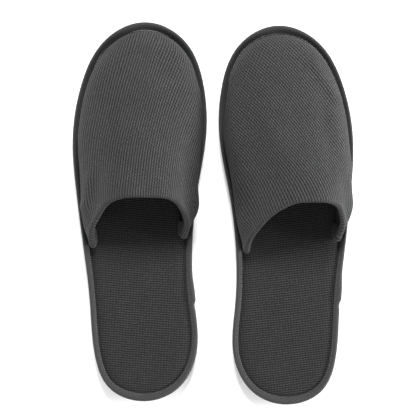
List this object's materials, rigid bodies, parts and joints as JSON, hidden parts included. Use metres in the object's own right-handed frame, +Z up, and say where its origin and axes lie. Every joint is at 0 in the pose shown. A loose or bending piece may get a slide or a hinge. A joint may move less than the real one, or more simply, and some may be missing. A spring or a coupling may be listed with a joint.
{
  "type": "spa slippers",
  "caption": "Pair of closed-toe spa slippers in charcoal waffle-weave cloth, with a padded upper, a soft cushioned footbed and a taped edge on a thin foam sole.",
  "frame": {"origin": "centre of the pair's bounding box, at the height of the undersides of the outsoles", "axes": "+Y towards the toes, +Z up, +X from the left slipper towards the right slipper"},
  "size_m": [0.2074, 0.2826, 0.057],
  "materials": {
    "eva_outsole": "matt moulded foam",
    "insole_board": "plain pressed board",
    "foam": "open-cell foam",
    "insole_cloth": "charcoal waffle weave",
    "binding_tape": "charcoal waffle weave tape",
    "thread": "spun polyester sewing thread",
    "upper_cloth": "charcoal waffle weave",
    "lining_cloth": "plain charcoal knit"
  },
  "bodies": {
    "left_slipper": {"left_outsole": "eva_outsole", "left_insole_board": "insole_board", "left_insole_foam": "foam", "left_insole_cover": "insole_cloth", "left_edge_binding": "binding_tape", "left_needle_thread": "thread", "left_bobbin_thread": "thread", "left_upper_outer": "upper_cloth", "left_upper_foam": "foam", "left_upper_lining": "lining_cloth"},
    "right_slipper": {"right_outsole": "eva_outsole", "right_insole_board": "insole_board", "right_insole_foam": "foam", "right_insole_cover": "insole_cloth", "right_edge_binding": "binding_tape", "right_needle_thread": "thread", "right_bobbin_thread": "thread", "right_upper_outer": "upper_cloth", "right_upper_foam": "foam", "right_upper_lining": "lining_cloth"}
  },
  "joints": [
    {"name": "right_slipper_lift", "type": "slide", "parent": "left_slipper", "child": "right_slipper", "axis": [0, 0, 1], "range_m": [0, 0.12]}
  ]
}
